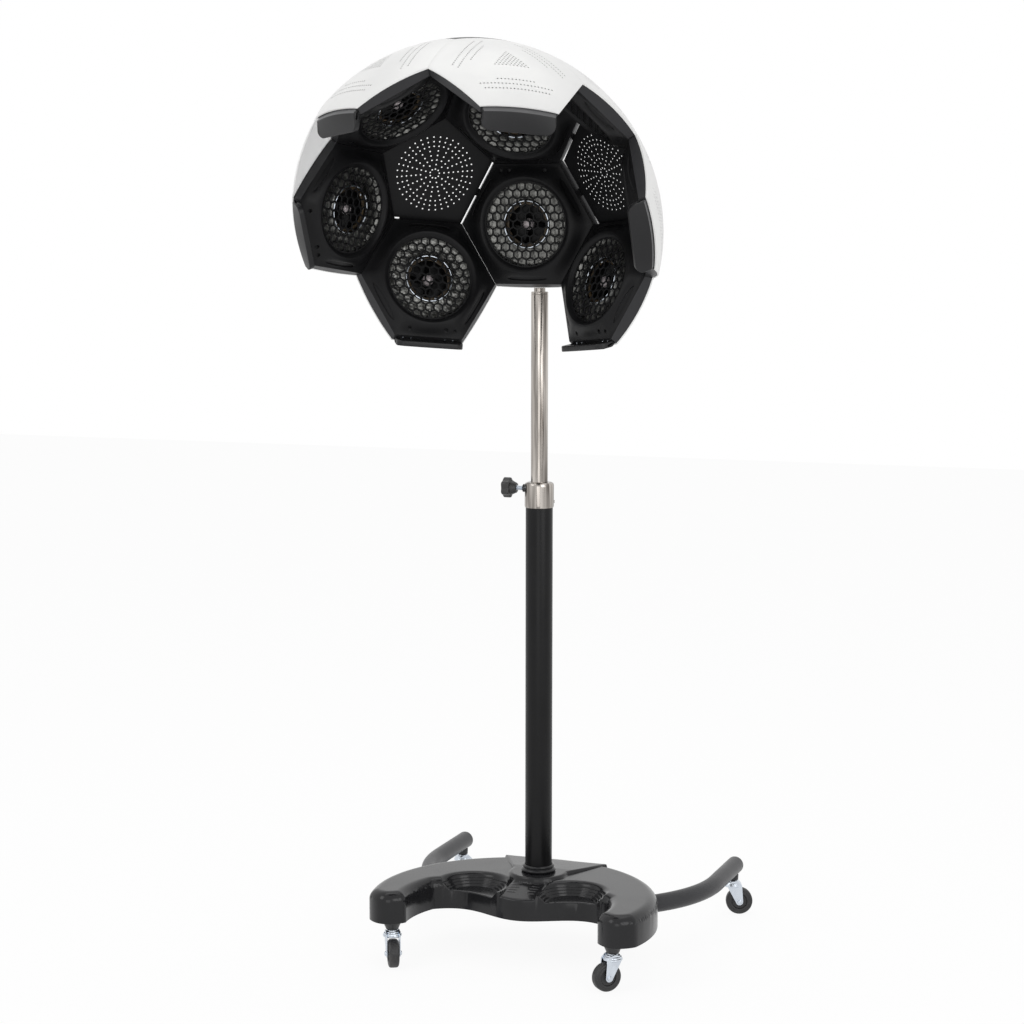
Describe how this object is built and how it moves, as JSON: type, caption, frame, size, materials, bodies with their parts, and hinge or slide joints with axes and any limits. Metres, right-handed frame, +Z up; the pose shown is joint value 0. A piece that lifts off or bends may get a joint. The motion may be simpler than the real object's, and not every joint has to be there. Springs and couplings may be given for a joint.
{
  "type": "standing hood dryer",
  "caption": "Salon hood dryer on wheels: a ball-shaped hood of hexagonal fan modules, hinged behind to a telescopic column on a crescent base with a bent rear leg.",
  "frame": {"origin": "on the floor, under the middle of the part's box", "axes": "+Z up, -Y to the front, where the user sits, +X to the right seen from the front"},
  "size_m": [0.622, 0.914, 1.5907],
  "materials": {
    "gloss_black_moulding": "glossy moulded black",
    "satin_black_paint": "satin black paint on steel",
    "panel_black": "satin black moulding",
    "fan_black": "plain black moulding",
    "cover_white": "satin white moulding",
    "chrome": "polished plate",
    "zinc_plate": "bright zinc plate",
    "cast_iron": "black painted casting",
    "wheel_black": "matt black tread",
    "knob_black": "matt black moulding",
    "nylon_grey": "plain nylon",
    "brass": "plain brass"
  },
  "bodies": {
    "base": {"base_cover": "gloss_black_moulding", "base_frame": "cast_iron", "leg_tube": "satin_black_paint", "leg_plug_left": "knob_black", "leg_plug_right": "knob_black", "column_tube": "satin_black_paint", "column_foot_ring": "gloss_black_moulding", "clamp_collar": "chrome", "column_bush": "nylon_grey", "clamp_pad": "brass"},
    "slider": {"inner_tube": "chrome", "lower_guide": "nylon_grey", "neck_bush": "chrome"},
    "knob": {"clamp_knob": "knob_black", "clamp_stud": "chrome"},
    "neck": {"neck_post": "chrome", "tilt_pin": "zinc_plate"},
    "hood": {"hood_bracket": "satin_black_paint", "vent_top": "panel_black", "vent_back_right": "panel_black", "vent_back_left": "panel_black", "side_panel_left": "cover_white", "cover_front_right": "cover_white", "cover_front_left": "cover_white", "cover_upper_right": "cover_white", "cover_upper_back": "cover_white", "cover_upper_left": "cover_white", "cover_side_right": "cover_white", "cover_back_centre": "cover_white", "cover_side_left": "cover_white", "cover_low_right": "cover_white", "cover_low_left": "cover_white", "panel_front_right": "panel_black", "panel_front_left": "panel_black", "panel_upper_right": "panel_black", "panel_upper_back": "panel_black", "panel_upper_left": "panel_black", "panel_side_right": "panel_black", "panel_back_centre": "panel_black", "panel_side_left": "panel_black", "panel_low_right": "panel_black", "panel_low_left": "panel_black"},
    "fan_front_right": {"fan_front_right": "fan_black"},
    "fan_front_left": {"fan_front_left": "fan_black"},
    "fan_upper_right": {"fan_upper_right": "fan_black"},
    "fan_upper_back": {"fan_upper_back": "fan_black"},
    "fan_upper_left": {"fan_upper_left": "fan_black"},
    "fan_side_right": {"fan_side_right": "fan_black"},
    "fan_back_centre": {"fan_back_centre": "fan_black"},
    "fan_side_left": {"fan_side_left": "fan_black"},
    "fan_low_right": {"fan_low_right": "fan_black"},
    "fan_low_left": {"fan_low_left": "fan_black"},
    "fork_front_left": {"castor_fork_front_left": "zinc_plate"},
    "wheel_front_left": {"castor_wheel_front_left": "wheel_black"},
    "fork_front_right": {"castor_fork_front_right": "zinc_plate"},
    "wheel_front_right": {"castor_wheel_front_right": "wheel_black"},
    "fork_rear_left": {"castor_fork_rear_left": "zinc_plate"},
    "wheel_rear_left": {"castor_wheel_rear_left": "wheel_black"},
    "fork_rear_right": {"castor_fork_rear_right": "zinc_plate"},
    "wheel_rear_right": {"castor_wheel_rear_right": "wheel_black"}
  },
  "joints": [
    {"name": "column_slide", "type": "slide", "parent": "base", "child": "slider", "axis": [0, 0, 1], "range_m": [-0.3, 0.08]},
    {"name": "knob_turn", "type": "hinge", "parent": "base", "child": "knob", "pos_m": [0, 0.102, 0.83], "axis": [-1, 0, 0], "range_deg": [0, 720]},
    {"name": "hood_swivel", "type": "hinge", "parent": "slider", "child": "neck", "pos_m": [0, 0.102, 1.172], "axis": [0, 0, 1], "range_deg": [-170, 170]},
    {"name": "hood_tilt", "type": "hinge", "parent": "neck", "child": "hood", "pos_m": [0, 0.102, 1.288], "axis": [1, 0, 0], "range_deg": [-35, 10]},
    {"name": "fan_spin_front_right", "type": "hinge", "parent": "hood", "child": "fan_front_right", "pos_m": [0, -0.234, 1.279], "axis": [0.3568, -0.3787, 0.854], "continuous": true},
    {"name": "fan_spin_front_left", "type": "hinge", "parent": "hood", "child": "fan_front_left", "pos_m": [0, -0.234, 1.279], "axis": [-0.3568, -0.3787, 0.854], "continuous": true},
    {"name": "fan_spin_upper_right", "type": "hinge", "parent": "hood", "child": "fan_upper_right", "pos_m": [0, -0.234, 1.279], "axis": [0.5774, 0.2937, 0.7618], "continuous": true},
    {"name": "fan_spin_upper_back", "type": "hinge", "parent": "hood", "child": "fan_upper_back", "pos_m": [0, -0.234, 1.279], "axis": [0, 0.7093, 0.7049], "continuous": true},
    {"name": "fan_spin_upper_left", "type": "hinge", "parent": "hood", "child": "fan_upper_left", "pos_m": [0, -0.234, 1.279], "axis": [-0.5774, 0.2937, 0.7618], "continuous": true},
    {"name": "fan_spin_side_right", "type": "hinge", "parent": "hood", "child": "fan_side_right", "pos_m": [0, -0.234, 1.279], "axis": [0.9342, 0.3262, 0.1447], "continuous": true},
    {"name": "fan_spin_back_centre", "type": "hinge", "parent": "hood", "child": "fan_back_centre", "pos_m": [0, -0.234, 1.279], "axis": [0, 0.9986, 0.0526], "continuous": true},
    {"name": "fan_spin_side_left", "type": "hinge", "parent": "hood", "child": "fan_side_left", "pos_m": [0, -0.234, 1.279], "axis": [-0.9342, 0.3262, 0.1447], "continuous": true},
    {"name": "fan_spin_low_right", "type": "hinge", "parent": "hood", "child": "fan_low_right", "pos_m": [0, -0.234, 1.279], "axis": [0.5774, 0.7618, -0.2937], "continuous": true},
    {"name": "fan_spin_low_left", "type": "hinge", "parent": "hood", "child": "fan_low_left", "pos_m": [0, -0.234, 1.279], "axis": [-0.5774, 0.7618, -0.2937], "continuous": true},
    {"name": "castor_swivel_front_left", "type": "hinge", "parent": "base", "child": "fork_front_left", "pos_m": [-0.203, -0.093, 0], "axis": [0, 0, 1], "continuous": true},
    {"name": "wheel_spin_front_left", "type": "hinge", "parent": "fork_front_left", "child": "wheel_front_left", "pos_m": [-0.197, -0.10339, 0.025], "axis": [-0.866, -0.5, 0], "continuous": true},
    {"name": "castor_swivel_front_right", "type": "hinge", "parent": "base", "child": "fork_front_right", "pos_m": [0.203, -0.093, 0], "axis": [0, 0, 1], "continuous": true},
    {"name": "wheel_spin_front_right", "type": "hinge", "parent": "fork_front_right", "child": "wheel_front_right", "pos_m": [0.19451, -0.10148, 0.025], "axis": [-0.7071, 0.7071, 0], "continuous": true},
    {"name": "castor_swivel_rear_left", "type": "hinge", "parent": "base", "child": "fork_rear_left", "pos_m": [-0.2735, 0.429, 0], "axis": [0, 0, 1], "continuous": true},
    {"name": "wheel_spin_rear_left", "type": "hinge", "parent": "fork_rear_left", "child": "wheel_rear_left", "pos_m": [-0.26431, 0.43672, 0.025], "axis": [0.6428, -0.766, 0], "continuous": true},
    {"name": "castor_swivel_rear_right", "type": "hinge", "parent": "base", "child": "fork_rear_right", "pos_m": [0.2735, 0.429, 0], "axis": [0, 0, 1], "continuous": true},
    {"name": "wheel_spin_rear_right", "type": "hinge", "parent": "fork_rear_right", "child": "wheel_rear_right", "pos_m": [0.28478, 0.43311, 0.025], "axis": [0.342, -0.9397, 0], "continuous": true}
  ]
}
